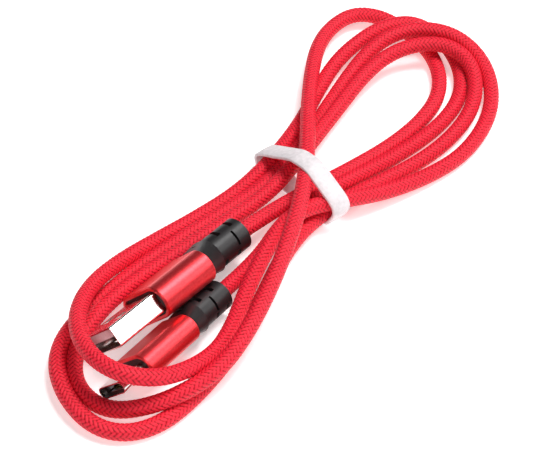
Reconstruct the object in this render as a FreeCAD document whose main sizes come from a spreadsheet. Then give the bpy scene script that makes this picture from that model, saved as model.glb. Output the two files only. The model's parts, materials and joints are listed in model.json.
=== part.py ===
import FreeCAD, Part
import Sketcher
import math
import os

# A braided charging cable lying on a table, folded into a long flat hank that a narrow
# band ties at its waist.  One end has a USB-A plug, the other a USB-C plug; both lie in
# the left loop of the hank, and one turn of the cord passes over them.
# Frame: X along the hank, Y across it, Z up, origin on the table below the hank's middle.
# Each plug is built in a frame of its own: X from the mouth towards the cord, Y across
# the wide side, Z the normal of the wide side.

doc = FreeCAD.newDocument("charging_cable")
V = FreeCAD.Vector

SIZES = [
    ("cord_dia", 3.5, "braided sleeve over the cord"),
    ("hank_height", 7.0, "strands that lie two deep"),
    ("hank_edge", 1.5, "rounding of the hank's edges"),
    ("band_width", 4.5, "flat tie band, along the hank"),
    ("band_thick", 0.8, "flat tie band"),
    ("band_half_reach", 12.4, "half of the band's inner width"),
    ("band_inner_height", 6.4, "bundle of strands inside the band"),
    ("band_lift", 0.001, "underside of the band above the table"),
    ("band_corner", 2.2, "outer corner of the band"),
    ("band_inner_corner", 1.4, "inner corner of the band"),
    ("a_shell_width", 12.0, "USB-A plug shell"),
    ("a_shell_height", 4.5, "USB-A plug shell"),
    ("a_shell_inner_width", 11.4, "shell less its walls"),
    ("a_shell_inner_height", 3.9, "shell less its walls"),
    ("a_shell_length", 18.8, "with the part inside the housing"),
    ("a_shell_corner", 0.6, "shell corner"),
    ("a_window_start", 4.2, "latch windows from the mouth"),
    ("a_window_end", 6.7, "latch windows from the mouth"),
    ("a_window_near", 1.6, "latch windows from the middle"),
    ("a_window_far", 3.8, "latch windows from the middle"),
    ("a_tongue_start", 0.5, "tongue set back from the mouth"),
    ("a_tongue_half", 5.55, "half the tongue's width"),
    ("a_tongue_low", 0.1, "contact face of the tongue"),
    ("a_tongue_high", 1.9, "back face of the tongue"),
    ("a_block_start", 11.6, "block that closes the shell"),
    ("a_contact_width", 1.0, "contact strips"),
    ("a_contact_thick", 0.25, "contact strips"),
    ("a_contact_start", 1.3, "contact strips from the mouth"),
    ("a_contact_end", 20.0, "solder tails"),
    ("a_contact_inner", 1.0, "inner pair from the middle"),
    ("a_contact_outer", 3.5, "outer pair from the middle"),
    ("a_housing_start", 12.3, "front rim from the mouth"),
    ("a_housing_end", 26.2, "rear rim from the mouth"),
    ("a_housing_width", 16.3, "obround housing"),
    ("a_housing_height", 7.2, "obround housing"),
    ("a_housing_inner_width", 14.7, "housing less its walls"),
    ("a_housing_inner_height", 5.6, "housing less its walls"),
    ("a_insert_start", 12.9, "dark insert behind the front rim"),
    ("a_insert_end", 14.4, "dark insert behind the front rim"),
    ("a_wire_room_width", 9.4, "hollow for the wires"),
    ("a_wire_room_height", 3.4, "hollow for the wires"),
    ("a_collar_end", 30.9, "collar narrows to here"),
    ("a_relief_end", 40.2, "end of the strain relief"),
    ("a_collar_width", 10.2, "narrow end of the collar"),
    ("a_collar_height", 7.6, "narrow end of the collar"),
    ("a_relief_dia", 7.2, "round tail of the strain relief"),
    ("a_upper_slot_one", 34.5, "flex slots on the upper side, from the mouth"),
    ("a_upper_slot_two", 38.3, "flex slots on the upper side, from the mouth"),
    ("a_lower_slot_one", 32.7, "flex slots on the lower side, from the mouth"),
    ("a_lower_slot_two", 36.6, "flex slots on the lower side, from the mouth"),
    ("c_shell_width", 8.34, "USB-C plug shell"),
    ("c_shell_height", 2.56, "USB-C plug shell"),
    ("c_shell_inner_width", 7.94, "shell less its walls"),
    ("c_shell_inner_height", 2.16, "shell less its walls"),
    ("c_shell_length", 12.4, "with the part inside the housing"),
    ("c_liner_start", 1.0, "plastic liner from the mouth"),
    ("c_slot_width", 6.7, "slot in the liner"),
    ("c_slot_height", 1.3, "slot in the liner"),
    ("c_slot_end", 6.6, "closed end of the slot"),
    ("c_row_half", 2.9, "half the width of a row of contact fingers"),
    ("c_contact_start", 2.4, "contact fingers from the mouth"),
    ("c_contact_length", 11.6, "contact fingers with their solder tails"),
    ("c_contact_width", 0.26, "contact fingers"),
    ("c_contact_pitch", 0.5, "contact fingers, middle to middle"),
    ("c_contact_low", 0.4, "near face of a contact finger from the middle"),
    ("c_contact_high", 0.55, "far face of a contact finger from the middle"),
    ("c_board_start", 12.4, "circuit board"),
    ("c_board_end", 20.4, "circuit board"),
    ("c_board_half", 4.0, "half the board's width"),
    ("c_board_half_thick", 0.4, "half the board's thickness"),
    ("c_housing_start", 6.4, "front rim from the mouth"),
    ("c_housing_end", 21.0, "rear rim from the mouth"),
    ("c_housing_width", 11.9, "obround housing"),
    ("c_housing_height", 5.9, "obround housing"),
    ("c_housing_inner_width", 10.6, "housing less its walls"),
    ("c_housing_inner_height", 4.6, "housing less its walls"),
    ("c_insert_start", 6.9, "dark insert behind the front rim"),
    ("c_insert_end", 8.2, "dark insert behind the front rim"),
    ("c_wire_room_width", 8.4, "hollow for board and wires"),
    ("c_wire_room_height", 3.4, "hollow for board and wires"),
    ("c_collar_end", 25.0, "collar narrows to here"),
    ("c_relief_end", 33.8, "end of the strain relief"),
    ("c_collar_width", 8.6, "narrow end of the collar"),
    ("c_collar_height", 6.9, "narrow end of the collar"),
    ("c_relief_dia", 6.6, "round tail of the strain relief"),
    ("c_upper_slot_one", 27.2, "flex slots on the upper side, from the mouth"),
    ("c_upper_slot_two", 31.0, "flex slots on the upper side, from the mouth"),
    ("c_lower_slot_one", 29.1, "flex slots on the lower side, from the mouth"),
    ("c_lower_slot_two", 32.4, "flex slots on the lower side, from the mouth"),
    ("tail_overlap", 1.5, "tail of a strain relief, inside its collar"),
    ("rim_edge", 0.25, "bright chamfer on the housings' rims"),
    ("slot_width", 0.9, "flex slots of the strain reliefs"),
    ("slot_reach", 2.6, "half the length of a flex slot"),
    ("slot_depth", 1.3, "flex slots of the strain reliefs"),
    ("side_slot_width", 0.55, "thin slots between the flex slots, a quarter turn round"),
    ("side_slot_reach", 1.7, "half the length of a thin slot"),
    ("side_slot_depth", 0.9, "thin slots"),
    ("a_side_slot", 37.0, "thin slots of the USB-A strain relief, from the mouth"),
    ("c_side_slot", 29.3, "thin slots of the USB-C strain relief, from the mouth"),
    ("jacket_dia", 3.0, "inner jacket, inside the strain relief"),
    ("crimp_dia", 4.4, "crimp ferrule"),
    ("crimp_inner", 3.6, "crimp ferrule"),
    ("crimp_length", 2.8, "crimp ferrule"),
    ("crimp_gap", 0.4, "crimp ferrule behind the housing"),
    ("crimp_clearance", 0.01, "between the crimp ferrule and the jacket"),
    ("wire_dia", 0.9, "insulated wires"),
]

sheet = doc.addObject("Spreadsheet::Sheet", "sheet")
for row, (alias, value, note) in enumerate(SIZES, start=1):
    sheet.set("A%d" % row, alias)
    sheet.set("B%d" % row, str(value))
    sheet.set("C%d" % row, note)
    sheet.setAlias("B%d" % row, alias)
doc.recompute()

nodes = []


def size(alias):
    """A size read from the sheet."""
    return float(sheet.get(alias))


def cell(alias):
    """The name of a sheet cell, as expressions write it."""
    return "sheet." + alias


def number(expression):
    """The value of an expression of sheet cells."""
    return float(sheet.evalExpression(expression))


# ---------------------------------------------------------------- bodies and sketches

def body_named(name):
    body = doc.addObject("PartDesign::Body", name)
    body.Label = name
    nodes.append(body)
    return body


def sketch_on(body, name, role, station):
    """A sketch on one of the body's own planes, moved along its normal by a cell."""
    plane = [item for item in body.Origin.OriginFeatures if item.Role == role][0]
    sketch = body.newObject("Sketcher::SketchObject", name)
    sketch.AttachmentSupport = [(plane, "")]
    sketch.MapMode = "FlatFace"
    if station:
        sketch.AttachmentOffset = FreeCAD.Placement(V(0, 0, number(station)), FreeCAD.Rotation())
        sketch.setExpression("AttachmentOffset.Base.z", station)
    return sketch


def bind(sketch, constraint, label, expression):
    index = sketch.addConstraint(constraint)
    sketch.renameConstraint(index, label)
    sketch.setExpression("Constraints." + label, expression)


def obround_loop(sketch, tag, width, height):
    """Two half circles joined by two straight sides, centred on the sketch's origin."""
    radius = number(height) / 2
    reach = (number(width) - number(height)) / 2
    first = sketch.GeometryCount
    corners = [V(reach, radius, 0), V(-reach, radius, 0), V(-reach, -radius, 0), V(reach, -radius, 0)]
    left_circle = Part.Circle(V(-reach, 0, 0), V(0, 0, 1), radius)
    right_circle = Part.Circle(V(reach, 0, 0), V(0, 0, 1), radius)
    sketch.addGeometry(Part.LineSegment(corners[0], corners[1]), False)
    sketch.addGeometry(Part.ArcOfCircle(left_circle, 0.5 * math.pi, 1.5 * math.pi), False)
    sketch.addGeometry(Part.LineSegment(corners[2], corners[3]), False)
    sketch.addGeometry(Part.ArcOfCircle(right_circle, 1.5 * math.pi, 2.5 * math.pi), False)
    for step in range(4):
        here, following = first + step, first + (step + 1) % 4
        sketch.addConstraint(Sketcher.Constraint("Tangent", here, 2, following, 1))
    left, right = first + 1, first + 3
    sketch.addConstraint(Sketcher.Constraint("Equal", left, right))
    sketch.addConstraint(Sketcher.Constraint("Symmetric", left, 3, right, 3, -1, 1))
    sketch.addConstraint(Sketcher.Constraint("PointOnObject", left, 3, -1))
    bind(sketch, Sketcher.Constraint("Radius", right, radius), tag + "_radius", height + " / 2")
    reach_constraint = Sketcher.Constraint("DistanceX", left, 3, right, 3, 2 * reach)
    bind(sketch, reach_constraint, tag + "_reach", "%s - %s" % (width, height))


def box_loop(sketch, tag, left, right, low, high):
    """A rectangle whose four sides are expressions of sheet cells."""
    x0, x1, y0, y1 = [number(side) for side in (left, right, low, high)]
    first = sketch.GeometryCount
    corners = [V(x0, y0, 0), V(x1, y0, 0), V(x1, y1, 0), V(x0, y1, 0)]
    for step in range(4):
        sketch.addGeometry(Part.LineSegment(corners[step], corners[(step + 1) % 4]), False)
    for step in range(4):
        following = first + (step + 1) % 4
        sketch.addConstraint(Sketcher.Constraint("Coincident", first + step, 2, following, 1))
    for step in (0, 2):
        sketch.addConstraint(Sketcher.Constraint("Horizontal", first + step))
        sketch.addConstraint(Sketcher.Constraint("Vertical", first + step + 1))
    bind(sketch, Sketcher.Constraint("DistanceX", -1, 1, first, 1, x0), tag + "_left", left)
    bind(sketch, Sketcher.Constraint("DistanceX", -1, 1, first, 2, x1), tag + "_right", right)
    bind(sketch, Sketcher.Constraint("DistanceY", -1, 1, first, 1, y0), tag + "_low", low)
    bind(sketch, Sketcher.Constraint("DistanceY", -1, 1, first + 2, 1, y1), tag + "_high", high)


def circle_loop(sketch, tag, diameter):
    radius = number(diameter) / 2
    index = sketch.addGeometry(Part.Circle(V(0, 0, 0), V(0, 0, 1), radius), False)
    sketch.addConstraint(Sketcher.Constraint("Coincident", index, 3, -1, 1))
    bind(sketch, Sketcher.Constraint("Diameter", index, 2 * radius), tag + "_dia", diameter)


def pad(body, sketch, length):
    feature = body.newObject("PartDesign::Pad", sketch.Name + "_pad")
    feature.Profile = sketch
    feature.Length = number(length)
    feature.setExpression("Length", length)
    sketch.Visibility = False
    doc.recompute()
    return feature


def pocket(body, sketch, length, along_normal=False):
    """A pocket that removes material, whichever way round its sketch faces."""
    before = body.Shape.Volume
    feature = body.newObject("PartDesign::Pocket", sketch.Name + "_cut")
    feature.Profile = sketch
    feature.Reversed = along_normal
    feature.Length = number(length)
    feature.setExpression("Length", length)
    doc.recompute()
    if not feature.Shape.isValid() or feature.Shape.Volume > before - 1e-4:
        feature.Reversed = not along_normal
        doc.recompute()
    return feature


def dress(body, kind, feature, amount, test):
    """A fillet or chamfer on the edges of a feature that pass a test."""
    edges = ["Edge%d" % (i + 1) for i, edge in enumerate(feature.Shape.Edges) if test(edge)]
    result = body.newObject("PartDesign::" + kind, "%s_%s" % (feature.Name, kind.lower()))
    result.Base = (feature, edges)
    prop = "Radius" if kind == "Fillet" else "Size"
    setattr(result, prop, number(amount))
    result.setExpression(prop, amount)
    doc.recompute()
    return result


def sleeve(name, start, end, outer, inner=None):
    """A body padded along X from start to end; outer and inner are (kind, sizes)."""
    body = body_named(name)
    sketch = sketch_on(body, name + "_section", "YZ_Plane", start)
    for tag, loop in (("outer", outer), ("inner", inner)):
        if loop is None:
            continue
        if loop[0] == "obround":
            obround_loop(sketch, tag, loop[1], loop[2])
        elif loop[0] == "circle":
            circle_loop(sketch, tag, loop[1])
        else:
            box_loop(sketch, tag, *centred(loop[1], loop[2]))
    pad(body, sketch, "%s - (%s)" % (end, start) if start else end)
    return body


def centred(width, height):
    """The four sides of a rectangle centred on the origin."""
    return ("-%s / 2" % width, "%s / 2" % width, "-%s / 2" % height, "%s / 2" % height)


def plain_feature(name, shape):
    feature = doc.addObject("Part::Feature", name)
    feature.Label = name
    feature.Shape = shape
    nodes.append(feature)
    return feature


def is_along_x(edge):
    box = edge.BoundBox
    return box.XLength > 1.0 and box.YLength < 1e-3 and box.ZLength < 1e-3


# ---------------------------------------------------------------- routes of cord and wire

def route(points, label=None):
    """Straight runs joined by tangent arcs through a hand-chosen list of corners."""
    corners = [V(*point) for point in points]
    edges = []
    radii = []
    last = corners[0]
    for here, corner, after in zip(corners, corners[1:], corners[2:]):
        back = here - corner
        ahead = after - corner
        turn = math.pi - back.getAngle(ahead)
        setback = 0.45 * min(back.Length, ahead.Length)
        radii.append(setback / math.tan(turn / 2))
        start = corner + back.normalize() * setback
        end = corner + ahead.normalize() * setback
        inward = (back + ahead).normalize()
        radius = radii[-1]
        middle = corner + inward * (radius / math.cos(turn / 2) - radius)
        edges.append(Part.LineSegment(last, start).toShape())
        edges.append(Part.Arc(start, middle, end).toShape())
        last = end
    edges.append(Part.LineSegment(last, corners[-1]).toShape())
    if label:
        print("%s radii: %s" % (label, ", ".join("%.1f" % radius for radius in radii)))
    return Part.Wire(edges)


def tube(points, diameter, label=None):
    """A round solid along a route, with its volume compared to section times length."""
    wire = route(points, label)
    heading = wire.Edges[0].tangentAt(wire.Edges[0].FirstParameter)
    ring = Part.Wire(Part.makeCircle(diameter / 2, V(*points[0]), heading))
    solid = wire.makePipeShell([ring], True, False)
    if label:
        expected = math.pi * diameter ** 2 / 4 * wire.Length
        print("%s volume / (section x length): %.4f" % (label, solid.Volume / expected))
    return Part.makeSolid(solid) if solid.ShapeType == "Shell" else solid


def closed_outline(points):
    """A closed outline in the table's plane: straight sides joined by tangent arcs."""
    corners = [V(x, y, 0) for x, y in points]
    count = len(corners)
    arcs = []
    for i, corner in enumerate(corners):
        back = corners[i - 1] - corner
        ahead = corners[(i + 1) % count] - corner
        turn = math.pi - back.getAngle(ahead)
        setback = 0.45 * min(back.Length, ahead.Length)
        radius = setback / math.tan(turn / 2)
        start = corner + back.normalize() * setback
        end = corner + ahead.normalize() * setback
        middle = corner + (back + ahead).normalize() * (radius / math.cos(turn / 2) - radius)
        arcs.append((start, middle, end))
    edges = []
    for i, (start, middle, end) in enumerate(arcs):
        edges.append(Part.Arc(start, middle, end).toShape())
        edges.append(Part.LineSegment(end, arcs[(i + 1) % count][0]).toShape())
    return Part.Wire(edges)


# ---------------------------------------------------------------- where the plugs lie

usb_a_place = FreeCAD.Placement(V(-55.44, -10.39, 7.4), FreeCAD.Rotation(4.6, 0.8, -49.0))
usb_c_place = FreeCAD.Placement(V(-61.68, -20.23, 6.52), FreeCAD.Rotation(8.9, 3.95, -45.8))


# ---------------------------------------------------------------- pieces both plugs have

def housing(plug):
    """The coloured metal sleeve of a plug, with a small chamfer around both rims."""
    name = "usb_%s_housing" % plug
    start, end = cell(plug + "_housing_start"), cell(plug + "_housing_end")
    outer = ("obround", cell(plug + "_housing_width"), cell(plug + "_housing_height"))
    inner = ("obround", cell(plug + "_housing_inner_width"), cell(plug + "_housing_inner_height"))
    body = sleeve(name, start, end, outer, inner)
    widest = size(plug + "_housing_inner_height") / 2 + 0.1

    def on_outer_rim(edge):
        box = edge.BoundBox
        return box.XLength < 1e-3 and max(box.ZMax, -box.ZMin) > widest

    dress(body, "Chamfer", body.Tip, cell("rim_edge"), on_outer_rim)
    return body


def front_insert(plug, opening):
    """The dark plate around the shell, set back behind the housing's front rim."""
    name = "usb_%s_front_insert" % plug
    outer = ("obround", cell(plug + "_housing_inner_width"), cell(plug + "_housing_inner_height"))
    return sleeve(name, cell(plug + "_insert_start"), cell(plug + "_insert_end"), outer, opening)


def inner_mold(plug, opening):
    """Moulding that fills the housing: tight on the shell, hollow around the wires."""
    name = "usb_%s_inner_mold" % plug
    outer = ("obround", cell(plug + "_housing_inner_width"), cell(plug + "_housing_inner_height"))
    shell_end = cell(plug + "_shell_length")
    body = sleeve(name, cell(plug + "_insert_end"), shell_end, outer, opening)
    section = sketch_on(body, name + "_rear", "YZ_Plane", shell_end)
    obround_loop(section, "outer", outer[1], outer[2])
    obround_loop(section, "inner", cell(plug + "_wire_room_width"), cell(plug + "_wire_room_height"))
    pad(body, section, "%s - %s" % (cell(plug + "_housing_end"), shell_end))
    return body


def strain_relief(plug):
    """Soft collar that narrows from the housing to a round tail with flex slots."""
    name = "usb_%s_strain_relief" % plug
    start, waist = cell(plug + "_housing_end"), cell(plug + "_collar_end")
    tail_dia = cell(plug + "_relief_dia")
    body = body_named(name)
    wide = sketch_on(body, name + "_wide", "YZ_Plane", start)
    inner_width, inner_height = cell(plug + "_housing_inner_width"), cell(plug + "_housing_inner_height")
    obround_loop(wide, "wide", inner_width, inner_height)
    narrow = sketch_on(body, name + "_narrow", "YZ_Plane", waist)
    obround_loop(narrow, "narrow", cell(plug + "_collar_width"), cell(plug + "_collar_height"))
    collar = body.newObject("PartDesign::AdditiveLoft", name + "_collar")
    collar.Profile = wide
    collar.Sections = [narrow]
    doc.recompute()
    tail_start = "%s - %s" % (waist, cell("tail_overlap"))
    tail = sketch_on(body, name + "_tail", "YZ_Plane", tail_start)
    circle_loop(tail, "tail", tail_dia)
    pad(body, tail, "%s - (%s)" % (cell(plug + "_relief_end"), tail_start))

    room = sketch_on(body, name + "_room", "YZ_Plane", start)
    circle_loop(room, "room", cell("crimp_dia"))
    pocket(body, room, "%s + %s" % (cell("crimp_length"), cell("crimp_gap")))
    bore = sketch_on(body, name + "_bore", "YZ_Plane", start)
    circle_loop(bore, "bore", cell("jacket_dia"))
    pocket(body, bore, "%s - %s" % (cell(plug + "_relief_end"), start))

    reach = cell("slot_reach")
    for side, edge in ((1, "upper"), (-1, "lower")):
        for count in ("one", "two"):
            tag = "%s_%s_slot_%s" % (name, edge, count)
            station = cell("%s_%s_slot_%s" % (plug, edge, count))
            face = "%d * %s / 2" % (side, tail_dia)
            slot = sketch_on(body, tag, "XY_Plane", face)
            half = "%s / 2" % cell("slot_width")
            ends = ["%s %s %s" % (station, sign, half) for sign in "-+"]
            box_loop(slot, "slot", ends[0], ends[1], "-" + reach, reach)
            pocket(body, slot, cell("slot_depth"))

    station, side_reach = cell(plug + "_side_slot"), cell("side_slot_reach")
    half = "%s / 2" % cell("side_slot_width")
    for side, edge in ((1, "left"), (-1, "right")):
        face = "%d * %s / 2" % (side, tail_dia)
        slot = sketch_on(body, "%s_%s_slot" % (name, edge), "XZ_Plane", face)
        front, rear = "%s - %s" % (station, half), "%s + %s" % (station, half)
        box_loop(slot, "slot", front, rear, "-" + side_reach, side_reach)
        pocket(body, slot, cell("side_slot_depth"))
    return body


def crimp_and_jacket(plug):
    """Brass ferrule on the wires and the stripped end of the cord behind it."""
    start = "%s + %s" % (cell(plug + "_housing_end"), cell("crimp_gap"))
    end = "%s + %s" % (start, cell("crimp_length"))
    crimp_end = "%s - %s" % (end, cell("crimp_clearance"))
    outer = ("circle", cell("crimp_dia"))
    crimp = sleeve("usb_%s_crimp" % plug, start, crimp_end, outer, ("circle", cell("crimp_inner")))
    jacket = sleeve("usb_%s_inner_jacket" % plug, end, cell(plug + "_relief_end"),
                    ("circle", cell("jacket_dia")))
    return [crimp, jacket]


# Where the four wires lie in the crimp, which they reach gathered into a bundle.
BUNDLE = [(-0.75, -0.75), (-0.75, 0.75), (0.75, 0.75), (0.75, -0.75)]
BUNDLE_BEFORE_REAR = 1.5
STRAIGHT_SHARE = 0.32


def wires(plug, start, tails):
    """Four insulated wires from the solder tails to the inside of the crimp."""
    gathered = size(plug + "_housing_end") - BUNDLE_BEFORE_REAR
    bend = start + STRAIGHT_SHARE * (gathered - start)
    end = size(plug + "_housing_end") + size("crimp_gap") + size("crimp_length")
    solids = []
    for (y0, z0), (y1, z1) in zip(tails, BUNDLE):
        points = [(start, y0, z0), (bend, y0, z0), (gathered, y1, z1), (end, y1, z1)]
        solids.append(tube(points, size("wire_dia")))
    return plain_feature("usb_%s_wires" % plug, Part.makeCompound(solids))


# ---------------------------------------------------------------- USB-A plug

usb_a_pieces = []

a_opening = ("box", cell("a_shell_width"), cell("a_shell_height"))
a_shell = sleeve("usb_a_shell", None, cell("a_shell_length"), a_opening,
                 ("box", cell("a_shell_inner_width"), cell("a_shell_inner_height")))
windows = sketch_on(a_shell, "usb_a_shell_windows", "XY_Plane", "-" + cell("a_shell_height"))
front, rear = cell("a_window_start"), cell("a_window_end")
near, far = cell("a_window_near"), cell("a_window_far")
box_loop(windows, "right", front, rear, near, far)
box_loop(windows, "left", front, rear, "-" + far, "-" + near)
pocket(a_shell, windows, "2 * " + cell("a_shell_height"))


def on_shell_outer_corner(edge):
    """Long corner edges of the shell's outside."""
    box = edge.BoundBox
    return is_along_x(edge) and box.XLength > longer_than and abs(box.YMin) > inner_side + 0.01


inner_side = size("a_shell_inner_width") / 2
longer_than = size("a_shell_length") - 1.0
dress(a_shell, "Fillet", a_shell.Tip, cell("a_shell_corner"), on_shell_outer_corner)
usb_a_pieces.append(a_shell)

insulator = body_named("usb_a_insulator")
tongue = sketch_on(insulator, "usb_a_tongue", "YZ_Plane", cell("a_tongue_start"))
half = cell("a_tongue_half")
box_loop(tongue, "tongue", "-" + half, half, cell("a_tongue_low"), cell("a_tongue_high"))
pad(insulator, tongue, "%s - %s" % (cell("a_shell_length"), cell("a_tongue_start")))
block = sketch_on(insulator, "usb_a_block", "YZ_Plane", cell("a_block_start"))
box_loop(block, "block", "-" + half, half, "-" + cell("a_tongue_high"), cell("a_tongue_high"))
pad(insulator, block, "%s - %s" % (cell("a_shell_length"), cell("a_block_start")))
grooves = sketch_on(insulator, "usb_a_grooves", "XY_Plane", cell("a_tongue_low"))
contact_centres = ["-" + cell("a_contact_outer"), "-" + cell("a_contact_inner"),
                   cell("a_contact_inner"), cell("a_contact_outer")]
half_strip = "%s / 2" % cell("a_contact_width")
for count, centre in enumerate(contact_centres):
    box_loop(grooves, "groove%d" % count, cell("a_contact_start"), cell("a_contact_end"),
             "%s - %s" % (centre, half_strip), "%s + %s" % (centre, half_strip))
pocket(insulator, grooves, cell("a_contact_thick"), along_normal=True)
usb_a_pieces.append(insulator)

strips = []
strip_length = size("a_contact_end") - size("a_contact_start")
for centre in contact_centres:
    corner = V(size("a_contact_start"), number(centre) - size("a_contact_width") / 2, size("a_tongue_low"))
    strips.append(Part.makeBox(strip_length, size("a_contact_width"), size("a_contact_thick"), corner))
usb_a_pieces.append(plain_feature("usb_a_contacts", Part.makeCompound(strips)))

a_tail_height = size("a_tongue_low") + size("a_contact_thick") / 2
a_tails = [(number(centre), a_tail_height) for centre in contact_centres]
usb_a_pieces.append(front_insert("a", a_opening))
usb_a_pieces.append(housing("a"))
usb_a_pieces.append(inner_mold("a", a_opening))
usb_a_pieces.append(wires("a", size("a_contact_end"), a_tails))
usb_a_pieces += crimp_and_jacket("a")
usb_a_pieces.append(strain_relief("a"))

for piece in usb_a_pieces:
    piece.Placement = usb_a_place


# ---------------------------------------------------------------- USB-C plug

usb_c_pieces = []

c_opening = ("obround", cell("c_shell_width"), cell("c_shell_height"))
c_inside = ("obround", cell("c_shell_inner_width"), cell("c_shell_inner_height"))
usb_c_pieces.append(sleeve("usb_c_shell", None, cell("c_shell_length"), c_opening, c_inside))

liner = body_named("usb_c_insulator")
liner_section = sketch_on(liner, "usb_c_liner", "YZ_Plane", cell("c_liner_start"))
obround_loop(liner_section, "outer", c_inside[1], c_inside[2])
pad(liner, liner_section, "%s - %s" % (cell("c_shell_length"), cell("c_liner_start")))
slot_section = sketch_on(liner, "usb_c_slot", "YZ_Plane", cell("c_liner_start"))
box_loop(slot_section, "slot", *centred(cell("c_slot_width"), cell("c_slot_height")))
pocket(liner, slot_section, "%s - %s" % (cell("c_slot_end"), cell("c_liner_start")))
tail_gap = sketch_on(liner, "usb_c_tail_gaps", "YZ_Plane", cell("c_slot_end"))
row_half, near_face, far_face = cell("c_row_half"), cell("c_contact_low"), cell("c_contact_high")
box_loop(tail_gap, "upper", "-" + row_half, row_half, near_face, far_face)
box_loop(tail_gap, "lower", "-" + row_half, row_half, "-" + far_face, "-" + near_face)
pocket(liner, tail_gap, "%s - %s" % (cell("c_shell_length"), cell("c_slot_end")))
usb_c_pieces.append(liner)

CONTACT_COUNT = 12
finger_thick = size("c_contact_high") - size("c_contact_low")
fingers = []
for z in (size("c_contact_low"), -size("c_contact_high")):
    for count in range(CONTACT_COUNT):
        y = (count - (CONTACT_COUNT - 1) / 2) * size("c_contact_pitch")
        corner = V(size("c_contact_start"), y - size("c_contact_width") / 2, z)
        finger = Part.makeBox(size("c_contact_length"), size("c_contact_width"), finger_thick, corner)
        fingers.append(finger)
usb_c_pieces.append(plain_feature("usb_c_contacts", Part.makeCompound(fingers)))

# Two side latches: thin blades in the ends of the slot, each with a bump that grips.
LATCH_HEIGHT = 0.6
# Distance from the mouth, and from the end of the slot inwards.
LATCH_OUTLINE = [
    (1.6, 0.0), (6.4, 0.0), (6.4, 0.25), (3.4, 0.25), (2.6, 0.6), (1.9, 0.25), (1.6, 0.25),
]
latches = []
for side in (1, -1):
    corners = []
    for x, inward in LATCH_OUTLINE:
        corners.append(V(x, side * (size("c_slot_width") / 2 - inward), -LATCH_HEIGHT / 2))
    face = Part.Face(Part.makePolygon(corners + corners[:1]))
    latches.append(face.extrude(V(0, 0, LATCH_HEIGHT)))
usb_c_pieces.append(plain_feature("usb_c_latch_springs", Part.makeCompound(latches)))

# Two ground springs: thin plates against the wide sides of the slot near the mouth.
GROUND_SPRING = V(1.0, 5.0, 0.1)
GROUND_SPRING_START = 1.1
plates = []
slot_half = size("c_slot_height") / 2
for z in (slot_half - GROUND_SPRING.z, -slot_half):
    corner = V(GROUND_SPRING_START, -GROUND_SPRING.y / 2, z)
    plates.append(Part.makeBox(GROUND_SPRING.x, GROUND_SPRING.y, GROUND_SPRING.z, corner))
usb_c_pieces.append(plain_feature("usb_c_ground_springs", Part.makeCompound(plates)))

board = body_named("usb_c_circuit_board")
board_section = sketch_on(board, "usb_c_board_section", "YZ_Plane", cell("c_board_start"))
half, thick = cell("c_board_half"), cell("c_board_half_thick")
box_loop(board_section, "board", "-" + half, half, "-" + thick, thick)
pad(board, board_section, "%s - %s" % (cell("c_board_end"), cell("c_board_start")))
usb_c_pieces.append(board)

RESISTOR = V(1.0, 0.5, 0.35)
RESISTOR_START = 16.0
resistor = doc.addObject("Part::Box", "usb_c_resistor")
resistor.Label = "usb_c_resistor"
resistor.Length = RESISTOR.x
resistor.Width = RESISTOR.y
resistor.Height = RESISTOR.z
nodes.append(resistor)
resistor_corner = V(RESISTOR_START, -RESISTOR.y / 2, size("c_board_half_thick"))
resistor_place = FreeCAD.Placement(resistor_corner, FreeCAD.Rotation())
resistor.Placement = usb_c_place.multiply(resistor_place)

WIRE_GAP = 0.05
WIRE_TAILS_C = [(-2.7, 0.0), (-0.9, 0.0), (0.9, 0.0), (2.7, 0.0)]
usb_c_pieces.append(front_insert("c", c_opening))
usb_c_pieces.append(housing("c"))
usb_c_pieces.append(inner_mold("c", c_opening))
usb_c_pieces.append(wires("c", size("c_board_end") + WIRE_GAP, WIRE_TAILS_C))
usb_c_pieces += crimp_and_jacket("c")
usb_c_pieces.append(strain_relief("c"))

for piece in usb_c_pieces:
    piece.Placement = usb_c_place


# ---------------------------------------------------------------- tie band

band = body_named("tie_band")
band_section = sketch_on(band, "tie_band_section", "YZ_Plane", "-%s / 2" % cell("band_width"))
inner_half, thick = cell("band_half_reach"), cell("band_thick")
outer_half = "(%s + %s)" % (inner_half, thick)
inner_top = "%s + %s" % (thick, cell("band_inner_height"))
outer_top = "%s + %s" % (inner_top, thick)
box_loop(band_section, "outer", "-1 * " + outer_half, outer_half, cell("band_lift"), outer_top)
box_loop(band_section, "inner", "-" + inner_half, inner_half, thick, inner_top)
band_pad = pad(band, band_section, cell("band_width"))


def on_outer_corner(edge):
    return is_along_x(edge) and abs(edge.BoundBox.YMin) > size("band_half_reach") + 0.1


def on_inner_corner(edge):
    return is_along_x(edge) and abs(abs(edge.BoundBox.YMin) - size("band_half_reach")) < 0.01


band_outside = dress(band, "Fillet", band_pad, cell("band_corner"), on_outer_corner)
dress(band, "Fillet", band_outside, cell("band_inner_corner"), on_inner_corner)
BAND_CENTRE = V(7.0, -2.9, 0)
BAND_TURN = -6.0
band.Placement = FreeCAD.Placement(BAND_CENTRE, FreeCAD.Rotation(V(0, 0, 1), BAND_TURN))


# ---------------------------------------------------------------- the hank

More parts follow.
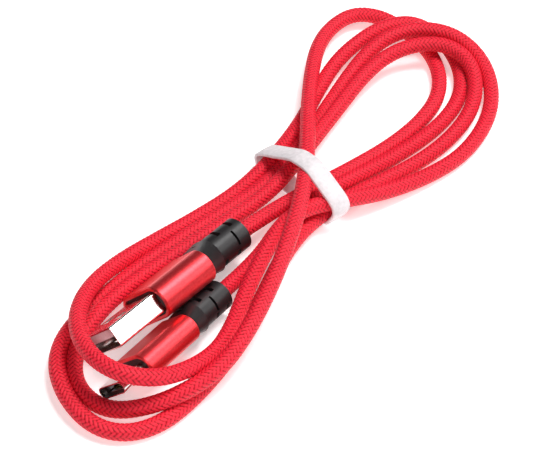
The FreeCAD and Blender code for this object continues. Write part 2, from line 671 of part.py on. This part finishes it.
# Outer edge of the pile of strands, counter-clockwise from the waist's near side.
HANK_OUTLINE = [
    (1.5, -15.0), (10.5, -15.4), (21.0, -19.0), (32.0, -22.7), (43.0, -22.6), (53.5, -18.8),
    (62.5, -12.3), (68.2, -4.5), (69.4, 4.0), (67.8, 13.5), (65.4, 22.5), (61.6, 29.6),
    (53.5, 31.9), (43.5, 28.9), (33.5, 21.4), (24.5, 15.0), (14.5, 9.9), (5.5, 9.4),
    (-5.0, 7.2), (-18.0, 8.6), (-30.5, 10.4), (-42.5, 7.6), (-54.5, 2.6), (-63.5, -3.6),
    (-68.2, -11.0), (-69.6, -20.0), (-66.2, -27.6), (-58.5, -31.4), (-47.0, -31.4),
    (-35.5, -29.4), (-23.5, -24.6), (-9.5, -17.0),
]
LEFT_OPENING = [
    (-1.0, -2.6), (-13.0, -2.2), (-29.0, -1.3), (-46.0, -1.7), (-56.5, -4.2), (-62.4, -10.2),
    (-63.9, -18.0), (-60.4, -25.2), (-51.0, -28.5), (-38.5, -27.2), (-26.0, -22.8),
    (-13.0, -15.8), (-2.5, -9.4), (1.5, -5.6),
]
RIGHT_OPENING = [
    (16.5, -4.6), (26.5, -6.1), (39.0, -5.9), (50.0, -2.8), (57.6, 4.6), (54.0, 9.6),
    (44.0, 9.8), (32.0, 6.8), (20.5, 3.6), (14.5, 0.2),
]

hank_height = size("hank_height")
up = V(0, 0, hank_height)
slab = Part.Face(closed_outline(HANK_OUTLINE)).extrude(up)
top_rim = [edge for edge in slab.Edges if edge.BoundBox.ZMin > hank_height - 1e-3]
bottom_rim = [edge for edge in slab.Edges if edge.BoundBox.ZMax < 1e-3]
slab = slab.makeFillet(size("hank_edge"), top_rim + bottom_rim)
for opening in (LEFT_OPENING, RIGHT_OPENING):
    slab = slab.cut(Part.Face(closed_outline(opening)).extrude(up))
slab = slab.cut(band.Shape)
slab = max(slab.Solids, key=lambda solid: solid.Volume)
plain_feature("cord_hank", slab)


# ---------------------------------------------------------------- free stretches of cord

cord_dia = size("cord_dia")

# One turn leaves the pile, climbs over the USB-C shell, passes in front of the USB-A
# mouth and comes down again on the far side.
TOP_TURN = [
    (-33.0, -25.2, 4.6), (-42.0, -28.0, 5.8), (-50.6, -28.0, 8.2), (-57.0, -25.4, 11.0),
    (-60.9, -20.4, 12.1), (-61.9, -14.2, 12.1), (-60.2, -8.2, 11.5), (-56.0, -3.0, 10.3),
    (-50.2, 1.6, 7.8), (-43.6, 5.4, 5.0), (-36.0, 7.6, 3.4),
]
# The leads keep the corners that the modelled cord has after the two strain reliefs.
LEAD_A_REST = [(-2.8, -6.0, 4.5), (4.5, -5.9, 3.4)]
LEAD_C_REST = [(-14.0, -12.5, 3.4), (-6.1, -9.8, 3.7), (2.9, -9.6, 3.8)]


def lead_points(place, relief_end, rest):
    """Corners of a lead: straight out of the strain relief, then the hand-chosen rest."""
    straight_out = [place.multVec(V(relief_end + ahead, 0, 0)) for ahead in (0.0, 4.6)]
    return [tuple(point) for point in straight_out] + rest


routes = {
    "cord_top_turn": TOP_TURN,
    "cord_lead_usb_a": lead_points(usb_a_place, size("a_relief_end"), LEAD_A_REST),
    "cord_lead_usb_c": lead_points(usb_c_place, size("c_relief_end"), LEAD_C_REST),
}
for name, points in routes.items():
    length = tube(points, cord_dia, name)
    plain_feature(name, max(length.cut(slab).Solids, key=lambda solid: solid.Volume))


# ---------------------------------------------------------------- check and write

doc.recompute()
problems = []
for item in doc.Objects:
    if "Invalid" in item.State or "Error" in item.State:
        problems.append("%s state %s" % (item.Name, item.State))
for node in nodes:
    if node.Shape.isNull() or not node.Shape.isValid():
        problems.append("%s has no valid shape" % node.Label)
if problems:
    raise RuntimeError("; ".join(problems))

os.makedirs("parts", exist_ok=True)
for node in nodes:
    node.Shape.exportStep("parts/%s.step" % node.Label)
    box = node.Shape.BoundBox
    print("%-24s solids %2d  volume %9.1f  x %.1f..%.1f  y %.1f..%.1f  z %.1f..%.1f" % (
        node.Label, len(node.Shape.Solids), node.Shape.Volume,
        box.XMin, box.XMax, box.YMin, box.YMax, box.ZMin, box.ZMax))
print("%d nodes written" % len(nodes))
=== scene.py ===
import json
import math

import bpy
import numpy as np
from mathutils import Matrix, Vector


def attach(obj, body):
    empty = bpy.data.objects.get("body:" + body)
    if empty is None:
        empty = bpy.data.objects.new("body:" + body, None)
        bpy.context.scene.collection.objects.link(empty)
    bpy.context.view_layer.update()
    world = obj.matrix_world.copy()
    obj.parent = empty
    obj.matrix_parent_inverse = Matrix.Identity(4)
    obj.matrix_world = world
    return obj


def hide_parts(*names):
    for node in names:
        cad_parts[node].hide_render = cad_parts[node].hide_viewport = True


# A braided USB-A to USB-C charging cable, folded into a hank that a narrow band ties.
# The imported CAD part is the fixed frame, and its pieces only get their materials here.
# The cord with its braided sleeve and the band are modelled round it.  Lengths are in
# metres, in the part's own frame, except where a comment says millimetres.

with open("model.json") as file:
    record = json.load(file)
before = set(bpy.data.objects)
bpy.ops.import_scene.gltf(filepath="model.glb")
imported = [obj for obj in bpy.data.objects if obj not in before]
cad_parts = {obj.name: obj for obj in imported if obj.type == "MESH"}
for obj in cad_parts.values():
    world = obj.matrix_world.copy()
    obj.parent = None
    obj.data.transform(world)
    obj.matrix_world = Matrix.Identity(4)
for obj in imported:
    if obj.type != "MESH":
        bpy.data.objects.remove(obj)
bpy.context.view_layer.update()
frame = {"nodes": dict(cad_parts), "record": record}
NODES = frame["nodes"]
SUBPARTS = frame["record"]["subparts"]
MM = 0.001
FULL_TURN = 2.0 * math.pi

CORD_RADIUS = 1.75 * MM

# ---------------------------------------------------------------- route of the cord

# Control points of the cord's centre line, in millimetres.  They were traced by hand, then
# moved by a separate relaxation until the strands lay on each other, the plugs and the
# table, and touched up by hand.  Each stretch goes from one end of the hank to the other
# through the tie; its comment names the loop that it makes.
ROUTE = [
    # Out of the USB-A strain relief, down to the table and through the tie.
    (-15.4, -7.2, 6.8), (-10.9, -6.9, 6.2), (-2.8, -6.0, 4.5), (7.7, -5.9, 2.8),
    # Right loop: inner turn on the table, near side first; it climbs over the pile after it.
    (19.5, -7.0, 2.0), (31.0, -7.9, 1.7), (41.4, -7.2, 1.7), (50.4, -4.5, 1.7), (57.1, 1.1, 1.8),
    (61.4, 8.6, 1.7), (62.7, 16.9, 1.8), (61.5, 24.0, 2.7), (57.1, 28.6, 3.3), (50.1, 29.0, 3.1),
    (42.4, 25.9, 3.7), (34.0, 19.7, 4.8), (24.8, 11.8, 6.0), (15.2, 2.7, 7.7), (6.3, -5.6, 9.1),
    # Left loop: inner turn, near side first.
    (-2.9, -12.7, 10.1), (-13.4, -19.0, 9.2), (-23.5, -24.2, 8.4), (-33.4, -28.3, 7.4),
    (-42.6, -30.7, 6.3), (-50.7, -29.8, 5.4), (-57.8, -26.5, 3.8), (-62.8, -21.2, 2.1),
    (-64.1, -14.8, 1.7), (-62.0, -8.4, 1.8), (-56.1, -3.5, 2.7), (-46.9, -0.5, 3.6),
    (-36.2, 0.2, 3.6), (-24.1, -0.3, 3.7), (-11.7, -1.0, 3.9), (-0.8, -1.3, 4.2), (9.9, 1.0, 4.8),
    # Right loop: inner turn, far side first.
    (21.0, 4.8, 3.9), (31.3, 7.9, 3.8), (40.6, 10.5, 4.2), (49.4, 11.2, 5.1), (56.6, 8.8, 5.8),
    (61.4, 4.0, 6.0), (62.3, -2.2, 5.2), (59.1, -8.1, 3.7), (52.7, -12.7, 2.4), (44.1, -15.3, 1.9),
    (33.9, -16.0, 1.7), (22.1, -14.7, 2.0), (10.7, -12.9, 2.6), (0.2, -12.6, 2.8),
    # Left loop: outer turn on the table, near side first.
    (-9.3, -14.8, 2.4), (-19.5, -19.4, 2.1), (-29.7, -24.3, 1.7), (-39.9, -27.7, 1.8),
    (-49.8, -29.7, 1.8), (-58.3, -29.9, 1.7), (-64.8, -26.8, 1.7), (-67.9, -20.8, 2.0),
    (-67.3, -12.9, 2.8), (-63.7, -5.3, 3.1), (-57.0, -0.1, 2.6), (-47.8, 2.3, 1.9),
    (-37.1, 3.4, 2.0), (-24.9, 3.1, 2.6), (-13.1, 2.4, 2.7), (-2.1, 2.0, 2.6), (7.2, 3.1, 2.5),
    # Right loop: outer turn, far side first.
    (17.8, 6.4, 1.7), (28.2, 10.1, 2.0), (38.6, 13.4, 3.1), (47.6, 15.4, 4.6), (55.5, 14.7, 6.1),
    (61.6, 10.8, 6.7), (65.3, 4.6, 6.3), (65.6, -2.5, 4.7), (62.5, -9.3, 3.2), (56.4, -15.2, 2.1),
    (48.2, -19.1, 1.8), (38.5, -21.1, 1.7), (28.0, -20.2, 2.1), (17.0, -17.9, 3.5), (7.6, -14.8, 5.8),
    # Left loop: the turn that climbs over both plugs.
    (0.4, -11.8, 6.6), (-6.8, -11.5, 6.9), (-14.5, -14.4, 6.4), (-24.0, -18.5, 5.0),
    (-32.8, -23.4, 4.3), (-40.5, -26.7, 5.5), (-48.6, -27.6, 7.8), (-55.8, -26.2, 10.0),
    (-60.5, -21.6, 11.6), (-61.3, -14.8, 11.1), (-58.7, -7.0, 9.7), (-53.1, -0.3, 7.8),
    (-45.3, 4.3, 5.7), (-35.9, 6.4, 3.8), (-25.9, 6.6, 2.4), (-15.5, 6.0, 1.7), (-5.1, 5.2, 2.0),
    (4.0, 5.8, 2.7),
    # Right loop: middle turn, far side first.
    (13.2, 8.2, 2.5), (23.0, 11.8, 1.8), (32.2, 16.1, 2.1), (41.8, 19.3, 3.5), (51.1, 19.7, 4.7),
    (58.3, 18.1, 5.4), (63.2, 14.5, 5.2), (65.0, 8.7, 3.4), (63.7, 2.7, 2.2), (59.8, -3.3, 1.7),
    (53.3, -8.3, 1.7), (44.4, -10.9, 1.7), (33.9, -11.5, 1.9), (23.2, -10.8, 2.4), (12.8, -9.6, 3.4),
    # Through the tie and up into the USB-C strain relief.
    (2.9, -9.1, 3.8), (-6.1, -9.8, 3.7), (-14.0, -12.5, 3.4), (-22.5, -13.9, 3.4), (-28.4, -15.0, 4.2),
]


# ---------------------------------------------------------------- camera

CAMERA_LENS = 123.3                       # millimetres, on a film of CAMERA_FILM
CAMERA_FILM = 36.0
CAMERA_PLACE = (-203.5, -206.0, 282.8)    # millimetres
CAMERA_TARGET = (-3.5, -6.0, 0.0)


def aim(item, place, target):
    """Puts a camera or a lamp at place, looking at target."""
    item.location = place
    item.rotation_euler = (target - Vector(place)).to_track_quat("-Z", "Y").to_euler()


def add_camera():
    """The photograph's view: a long lens, 45 degrees down, the hank running up to the right."""
    data = bpy.data.cameras.new("camera")
    data.lens = CAMERA_LENS
    data.sensor_width = CAMERA_FILM
    data.clip_start = 0.01
    camera = bpy.data.objects.new("camera", data)
    bpy.context.scene.collection.objects.link(camera)
    aim(camera, Vector(CAMERA_PLACE) * MM, Vector(CAMERA_TARGET) * MM)
    bpy.context.scene.camera = camera


add_camera()
bpy.context.scene.view_settings.view_transform = "Standard"


# ---------------------------------------------------------------- mesh helpers

def link(name, mesh, smooth=True):
    """A scene object for a mesh, shaded smooth unless told otherwise."""
    piece = bpy.data.objects.new(name, mesh)
    bpy.context.scene.collection.objects.link(piece)
    if smooth:
        mesh.polygons.foreach_set("use_smooth", [True] * len(mesh.polygons))
    return piece


def mesh_from(name, vertices, faces):
    mesh = bpy.data.meshes.new(name)
    mesh.from_pydata([tuple(v) for v in vertices], [], faces)
    mesh.update()
    return mesh


def write_attribute(mesh, name, values):
    """Keeps one number per vertex on the mesh, for its material to read."""
    layer = mesh.attributes.new(name, "FLOAT", "POINT")
    layer.data.foreach_set("value", values.reshape(-1).astype(np.float32))


def ring_faces(rings, points, closed=False):
    """Quads between rings of points; closed joins the last ring to the first one."""
    i = np.arange(rings if closed else rings - 1)[:, None]
    j = np.arange(points)[None, :]
    here = i * points + j
    beside = i * points + (j + 1) % points
    total = rings * points
    quads = np.stack([here, beside, (beside + points) % total, (here + points) % total], axis=-1)
    return quads.reshape(-1, 4).tolist()


def running_length(points):
    """Distance of each point from the first one, measured along the line."""
    return np.r_[0.0, np.cumsum(np.linalg.norm(np.diff(points, axis=0), axis=1))]


def points_at(wanted, distance, points):
    """Points of a line at the wanted distances along it."""
    columns = [np.interp(wanted, distance, points[:, axis]) for axis in range(points.shape[1])]
    return np.stack(columns, axis=1)


# ---------------------------------------------------------------- material helpers

def material(name, **values):
    """A Principled material; values are the shader's own sockets, by name with _ for spaces."""
    made = bpy.data.materials.new(name)
    made.use_nodes = True
    for key, value in values.items():
        shader_of(made).inputs[key.replace("_", " ")].default_value = value
    return made


def shader_of(made):
    return made.node_tree.nodes["Principled BSDF"]


def node(made, kind, **values):
    """A node; each value sets the node's property of that name, or else its socket."""
    item = made.node_tree.nodes.new(kind)
    for key, value in values.items():
        if hasattr(item, key):
            setattr(item, key, value)
        else:
            item.inputs[key.replace("_", " ")].default_value = value
    return item


def wire(made, source, target):
    made.node_tree.links.new(source, target)


def object_noise(made, scale, detail):
    """Noise fixed to the object, with scale in features per metre."""
    place = node(made, "ShaderNodeTexCoord")
    noise = node(made, "ShaderNodeTexNoise", Scale=scale, Detail=detail)
    wire(made, place.outputs["Object"], noise.inputs["Vector"])
    return noise.outputs["Fac"]


def base_colour(made, factor, stops):
    """Colours the surface by a factor, through a ramp with these (position, colour) stops."""
    item = node(made, "ShaderNodeValToRGB")
    elements = item.color_ramp.elements
    while len(elements) < len(stops):
        elements.new(0.5)
    for element, (position, colour) in zip(elements, stops):
        element.position = position
        element.color = (*colour, 1.0)
    wire(made, factor, item.inputs["Fac"])
    wire(made, item.outputs["Color"], shader_of(made).inputs["Base Color"])


def bump(made, height, strength, distance):
    item = node(made, "ShaderNodeBump", Strength=strength, Distance=distance)
    wire(made, height, item.inputs["Height"])
    wire(made, item.outputs["Normal"], shader_of(made).inputs["Normal"])


def vary_roughness(made, factor, low, high):
    spread = node(made, "ShaderNodeMapRange", To_Min=low, To_Max=high)
    wire(made, factor, spread.inputs["Value"])
    wire(made, spread.outputs["Result"], shader_of(made).inputs["Roughness"])


def scaled(colour, share):
    return tuple(share * channel for channel in colour)


# ---------------------------------------------------------------- materials

# The braid's colour by the height of its yarns: painted shade in the grooves between them, rising to the
# yarn's own red on their backs.
BRAID_COLOUR_AND_GROOVE_SHADE = [
    (0.48, (0.06, 0.0, 0.001)),      # painted shade between the yarns
    (0.71, (0.50, 0.002, 0.011)),
    (0.97, (0.90, 0.022, 0.050)),    # the yarn's own red, on its back
]
BRAID_MOTTLE = 0.25                  # share of noise in those shades


def braid_material():
    """Dyed red yarn, with painted shade darkening it between the yarns, and fine filaments along each.
    """
    made = material("braid", Roughness=0.5, Specular_IOR_Level=0.25, Sheen_Weight=0.03,
                    Sheen_Roughness=0.4, Sheen_Tint=(1.0, 0.35, 0.4, 1.0))
    # the yarns' height, which paints shade into the grooves between the yarns
    crown = node(made, "ShaderNodeAttribute", attribute_name="crown")
    mottle = object_noise(made, scale=900.0, detail=2.0)
    shade = node(made, "ShaderNodeMath", operation="MULTIPLY_ADD")
    wire(made, mottle, shade.inputs[0])
    shade.inputs[1].default_value = BRAID_MOTTLE
    wire(made, crown.outputs["Fac"], shade.inputs[2])
    base_colour(made, shade.outputs[0], BRAID_COLOUR_AND_GROOVE_SHADE)
    across = node(made, "ShaderNodeAttribute", attribute_name="filament")
    filaments = node(made, "ShaderNodeMath", operation="SINE")
    wire(made, across.outputs["Fac"], filaments.inputs[0])
    bump(made, filaments.outputs[0], strength=0.35, distance=0.04 * MM)
    return made


def housing_material():
    """Satin red anodised metal."""
    made = material("housing_red", Metallic=0.85)
    fine = object_noise(made, scale=2500.0, detail=2.0)
    base_colour(made, fine, [(0.3, (0.80, 0.040, 0.050)), (0.7, (0.88, 0.060, 0.070))])
    vary_roughness(made, fine, 0.34, 0.44)
    bump(made, fine, strength=0.05, distance=0.02 * MM)
    return made


def metal_material(name, colour, low, high):
    """Bare metal, its roughness between low and high."""
    made = material(name, Metallic=1.0)
    worn = object_noise(made, scale=400.0, detail=4.0)
    base_colour(made, worn, [(0.3, scaled(colour, 0.88)), (0.75, colour)])
    vary_roughness(made, worn, low, high)
    return made


def plastic_material(name, colour, roughness, grain=1800.0, depth=0.02 * MM):
    """Moulded plastic with a fine grain."""
    made = material(name, Specular_IOR_Level=0.45)
    grained = object_noise(made, scale=grain, detail=3.0)
    base_colour(made, grained, [(0.3, scaled(colour, 0.82)), (0.75, colour)])
    vary_roughness(made, grained, roughness - 0.06, roughness + 0.06)
    bump(made, grained, strength=0.12, distance=depth)
    return made


# By the material slots of the record.
MATERIALS = {
    "cord_braid": braid_material(),
    "band": plastic_material("band_white", (0.82, 0.76, 0.78), 0.55, grain=1200.0, depth=0.03 * MM),
    "plug_shell": metal_material("nickel", (0.80, 0.78, 0.76), 0.14, 0.24),
    "tongue_plastic": plastic_material("tongue", (0.80, 0.60, 0.62), 0.45),
    "contact_metal": metal_material("gold", (0.90, 0.68, 0.30), 0.18, 0.28),
    "dark_insert": plastic_material("dark_insert", (0.025, 0.008, 0.008), 0.45),
    "housing_red": housing_material(),
    "inner_plastic": plastic_material("inner_plastic", (0.55, 0.55, 0.55), 0.5),
    "wire_insulation": plastic_material("wire_insulation", (0.75, 0.75, 0.72), 0.4),
    "crimp_brass": metal_material("brass", (0.72, 0.52, 0.24), 0.25, 0.4),
    "jacket": plastic_material("jacket", (0.06, 0.06, 0.06), 0.5),
    "relief_black": plastic_material("relief_black", (0.013, 0.011, 0.012), 0.44, grain=2200.0),
    "spring_steel": metal_material("spring_steel", (0.6, 0.6, 0.62), 0.25, 0.35),
    "board": plastic_material("board", (0.02, 0.22, 0.08), 0.4),
    "resistor_body": plastic_material("resistor", (0.04, 0.04, 0.05), 0.4),
}


def dress(piece, slot_name):
    piece.data.materials.clear()
    piece.data.materials.append(MATERIALS[slot_name])


for part in SUBPARTS:
    dress(NODES[part["node"]], part["material_slot"])


# ---------------------------------------------------------------- the cord's centre line

CURVE_STEPS = 24    # steps of the curve for each point of the route


def centre_line():
    """Points read from a smooth NURBS that the route steers, and their distance along it."""
    curve = bpy.data.curves.new("cord_line", "CURVE")
    curve.dimensions = "3D"
    curve.resolution_u = CURVE_STEPS
    spline = curve.splines.new("NURBS")
    spline.points.add(len(ROUTE) - 1)
    for point, (x, y, z) in zip(spline.points, ROUTE):
        point.co = (x * MM, y * MM, z * MM, 1.0)
    spline.order_u = 3
    spline.use_endpoint_u = True
    line = bpy.data.objects.new("cord_line", curve)
    bpy.context.scene.collection.objects.link(line)
    bpy.context.view_layer.update()
    mesh = bpy.data.meshes.new_from_object(line)
    points = np.array([v.co for v in mesh.vertices])
    bpy.data.meshes.remove(mesh)
    bpy.data.objects.remove(line)
    return points, running_length(points)


LINE, DISTANCE = centre_line()
CORD_LENGTH = float(DISTANCE[-1])


def even_line(step):
    """The centre line at even steps, with two cross directions that don't twist along it."""
    stations = np.linspace(0.0, CORD_LENGTH, int(round(CORD_LENGTH / step)) + 1)
    points = points_at(stations, DISTANCE, LINE)
    tangents = np.gradient(points, axis=0)
    tangents /= np.linalg.norm(tangents, axis=1)[:, None]
    side = np.cross(tangents[0], (0.0, 0.0, 1.0))
    sides = np.empty_like(points)
    for i, tangent in enumerate(tangents):
        side = side - tangent * side.dot(tangent)
        side /= np.linalg.norm(side)
        sides[i] = side
    return stations, points, sides, np.cross(tangents, sides)


# ---------------------------------------------------------------- braided sleeve

CARRIERS = 10              # yarns that wind each way
BRAID_PITCH = 10.0 * MM    # one turn of a yarn
YARN_CROWN = 0.12 * MM     # yarn standing out of the sleeve
YARN_LIFT = 0.05 * MM      # rise over a crossing, and drop under one
CROSSING_SLOPE = 1.6       # above 1, a yarn stays flat for a while between rise and drop
FILAMENTS = 7              # visible filaments across a yarn
RING_STEP = 0.18 * MM
RING_POINTS = 60


def yarn_height(phase, wave):
    """Height of a yarn: the round of its back, raised or lowered by the wave that it follows."""
    across = (phase - np.floor(phase)) * 2.0 - 1.0
    return (1.0 - across ** 2) * YARN_CROWN + YARN_LIFT * np.clip(CROSSING_SLOPE * wave, -1, 1)


def braid_height(angle, station):
    """Height of yarns that pass over two and under two, and the phase of the one on top."""
    turns = CARRIERS * angle / FULL_TURN
    rows = CARRIERS * station / BRAID_PITCH
    right = turns + rows
    left = turns - rows
    over_right = yarn_height(right, np.sin(0.5 * math.pi * (np.floor(right) + left)))
    over_left = yarn_height(left, -np.sin(0.5 * math.pi * (right + np.floor(left))))
    return np.maximum(over_right, over_left), np.where(over_right >= over_left, right, left)


def build_sleeve():
    """The cord's skin: rings of points round the centre line, raised where a yarn stands out."""
    stations, points, sides, ups = even_line(RING_STEP)
    angles = np.linspace(0.0, FULL_TURN, RING_POINTS, endpoint=False)
    station_grid, angle_grid = np.meshgrid(stations, angles, indexing="ij")
    height, phase = braid_height(angle_grid, station_grid)
    top = YARN_CROWN + YARN_LIFT
    radius = CORD_RADIUS - top + height
    along_sides = np.cos(angle_grid)[..., None] * sides[:, None, :]
    along_ups = np.sin(angle_grid)[..., None] * ups[:, None, :]
    vertices = points[:, None, :] + (along_sides + along_ups) * radius[..., None]
    first_cap = list(range(RING_POINTS))[::-1]
    last_ring = (len(stations) - 1) * RING_POINTS
    last_cap = list(range(last_ring, last_ring + RING_POINTS))
    faces = ring_faces(len(stations), RING_POINTS) + [first_cap, last_cap]
    mesh = mesh_from("braided_cord", vertices.reshape(-1, 3).tolist(), faces)
    # The yarns' height, which the braid's colour uses to paint shade between the yarns.
    write_attribute(mesh, "crown", (height + YARN_LIFT) / (top + YARN_LIFT))
    write_attribute(mesh, "filament", phase * FULL_TURN * FILAMENTS)
    return link("braided_cord", mesh)


cord = build_sleeve()
dress(cord, "cord_braid")
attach(cord, "root")
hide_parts("cord_hank", "cord_top_turn", "cord_lead_usb_a", "cord_lead_usb_c")


# ---------------------------------------------------------------- tie band

BAND_CENTRE = np.array([7.0, -2.9, 0.0]) * MM
BAND_TURN = math.radians(-6.0)
BAND_ALONG = np.array([math.cos(BAND_TURN), math.sin(BAND_TURN), 0.0])      # as the strands run
BAND_ACROSS = np.array([-math.sin(BAND_TURN), math.cos(BAND_TURN), 0.0])
BAND_WIDTH = 4.5 * MM
BAND_THICKNESS = 0.8 * MM
BAND_EDGE = 0.18 * MM          # chamfer of its long edges
BAND_CROWN = 0.05 * MM         # rise in the middle of its outer face
BAND_CLEARANCE = 0.02 * MM     # from the strands inside
BAND_CUTS = (-0.4, 0.0, 0.4)   # where the strands are measured, as shares of the width
BAND_REACH = 25 * MM           # a strand further from the middle is not in the band
BAND_POINTS = 160
BAND_SMOOTHING = 6
STRAND_POINTS = 48


def strands_at(shift):
    """Place across the band and height of each strand, in a plane moved along by shift."""
    offset = (LINE - BAND_CENTRE) @ BAND_ALONG - shift
    for i in np.where(offset[:-1] * offset[1:] < 0)[0]:
        share = offset[i] / (offset[i] - offset[i + 1])
        point = LINE[i] + share * (LINE[i + 1] - LINE[i])
        across = (point - BAND_CENTRE) @ BAND_ACROSS
        if abs(across) <= BAND_REACH:
            yield across, point[2]


def convex_hull(points):
    """Convex hull of points in a plane, counter-clockwise."""
    order = sorted(points)

    def half(sequence):
        chain = []
        for point in sequence:
            while len(chain) > 1:
                ax, ay = chain[-1][0] - chain[-2][0], chain[-1][1] - chain[-2][1]
                bx, by = point[0] - chain[-2][0], point[1] - chain[-2][1]
                if ax * by - ay * bx > 0:
                    break
                chain.pop()
            chain.append(point)
        return chain[:-1]

    return np.array(half(order) + half(order[::-1]))


def band_outline():
    """Even points of the tight closed line round the strands; the band fits between it and the floor."""
    reach = CORD_RADIUS + BAND_CLEARANCE
    outline = []
    for cut in BAND_CUTS:
        for across, height in strands_at(cut * BAND_WIDTH):
            for angle in np.linspace(0.0, FULL_TURN, STRAND_POINTS, endpoint=False):
                above_floor = max(height + reach * math.sin(angle), BAND_THICKNESS)
                outline.append((across + reach * math.cos(angle), above_floor))
    hull = convex_hull(outline)
    closed = np.vstack([hull, hull[:1]])
    distance = running_length(closed)
    outline = points_at(np.linspace(0.0, distance[-1], BAND_POINTS, endpoint=False), distance, closed)
    for _ in range(BAND_SMOOTHING):
        outline = 0.5 * outline + 0.25 * (np.roll(outline, 1, axis=0) + np.roll(outline, -1, axis=0))
    return outline


def band_section():
    """The strap's section as (place along the strands, height over its inner face)."""
    side = BAND_WIDTH / 2
    inner = [(-side, BAND_EDGE), (-side + BAND_EDGE, 0.0), (side - BAND_EDGE, 0.0), (side, BAND_EDGE)]
    shoulder = BAND_THICKNESS - BAND_EDGE
    outer = [(side, shoulder), (side - BAND_EDGE, BAND_THICKNESS), (0.0, BAND_THICKNESS + BAND_CROWN),
             (-side + BAND_EDGE, BAND_THICKNESS), (-side, shoulder)]
    return inner + outer


def build_band():
    outline = band_outline()
    tangent = np.roll(outline, -1, axis=0) - np.roll(outline, 1, axis=0)
    tangent /= np.linalg.norm(tangent, axis=1)[:, None]
    outward = np.stack([tangent[:, 1], -tangent[:, 0]], axis=1)
    section = band_section()
    vertices = []
    for (across, height), (out_across, out_height) in zip(outline, outward):
        for along, lift in section:
            point = BAND_CENTRE + BAND_ALONG * along + BAND_ACROSS * (across + out_across * lift)
            point[2] = max(height + out_height * lift, 0.0)
            vertices.append(point)
    faces = ring_faces(len(outline), len(section), closed=True)
    return link("tie_band_strap", mesh_from("tie_band_strap", vertices, faces))


strap = build_band()
dress(strap, "band")
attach(strap, "root")
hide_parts("tie_band")


# ---------------------------------------------------------------- floor and light

FLOOR_HALF = 2.0
FLOOR_DROP = 0.02 * MM     # the floor lies this far under the object
# The floor glows a little: painted light, which lifts the shadows on it and lights the cord from below.
FLOOR_PAINTED_GLOW = 0.40
SKY_STRENGTH = 0.06
LAMP_SIZE = 0.42
LAMPS = [                  # name, place, watts
    ("key", (0.34, -0.10, 0.93), 9.7),
    ("side", (0.55, -0.55, 0.52), 2.5),
    ("front", (-0.60, -0.30, 0.60), 2.5),
]


def build_floor():
    far = FLOOR_HALF
    corners = [(-far, -far, 0), (far, -far, 0), (far, far, 0), (-far, far, 0)]
    floor = link("floor", mesh_from("floor", corners, [(0, 1, 2, 3)]), smooth=False)
    floor.location.z = -FLOOR_DROP
    # its emission is painted light that lifts the shadows on the floor
    look = material("floor_white", Roughness=0.75, Emission_Strength=FLOOR_PAINTED_GLOW)
    spots = object_noise(look, scale=30.0, detail=2.0)
    base_colour(look, spots, [(0.3, (0.93, 0.93, 0.93)), (0.7, (0.95, 0.95, 0.95))])
    floor.data.materials.append(look)


def add_lamp(name, place, power):
    """A square soft box that faces the middle of the part."""
    data = bpy.data.lights.new(name, "AREA")
    data.shape = "SQUARE"
    data.size = LAMP_SIZE
    data.energy = power
    lamp = bpy.data.objects.new(name, data)
    bpy.context.scene.collection.objects.link(lamp)
    aim(lamp, place, Vector((0.0, 0.0, 0.0)))


def build_light():
    world = bpy.data.worlds.new("studio")
    world.use_nodes = True
    background = world.node_tree.nodes["Background"]
    background.inputs["Color"].default_value = (1.0, 1.0, 1.0, 1.0)
    background.inputs["Strength"].default_value = SKY_STRENGTH
    bpy.context.scene.world = world
    for name, place, power in LAMPS:
        add_lamp(name, place, power)


build_floor()
build_light()
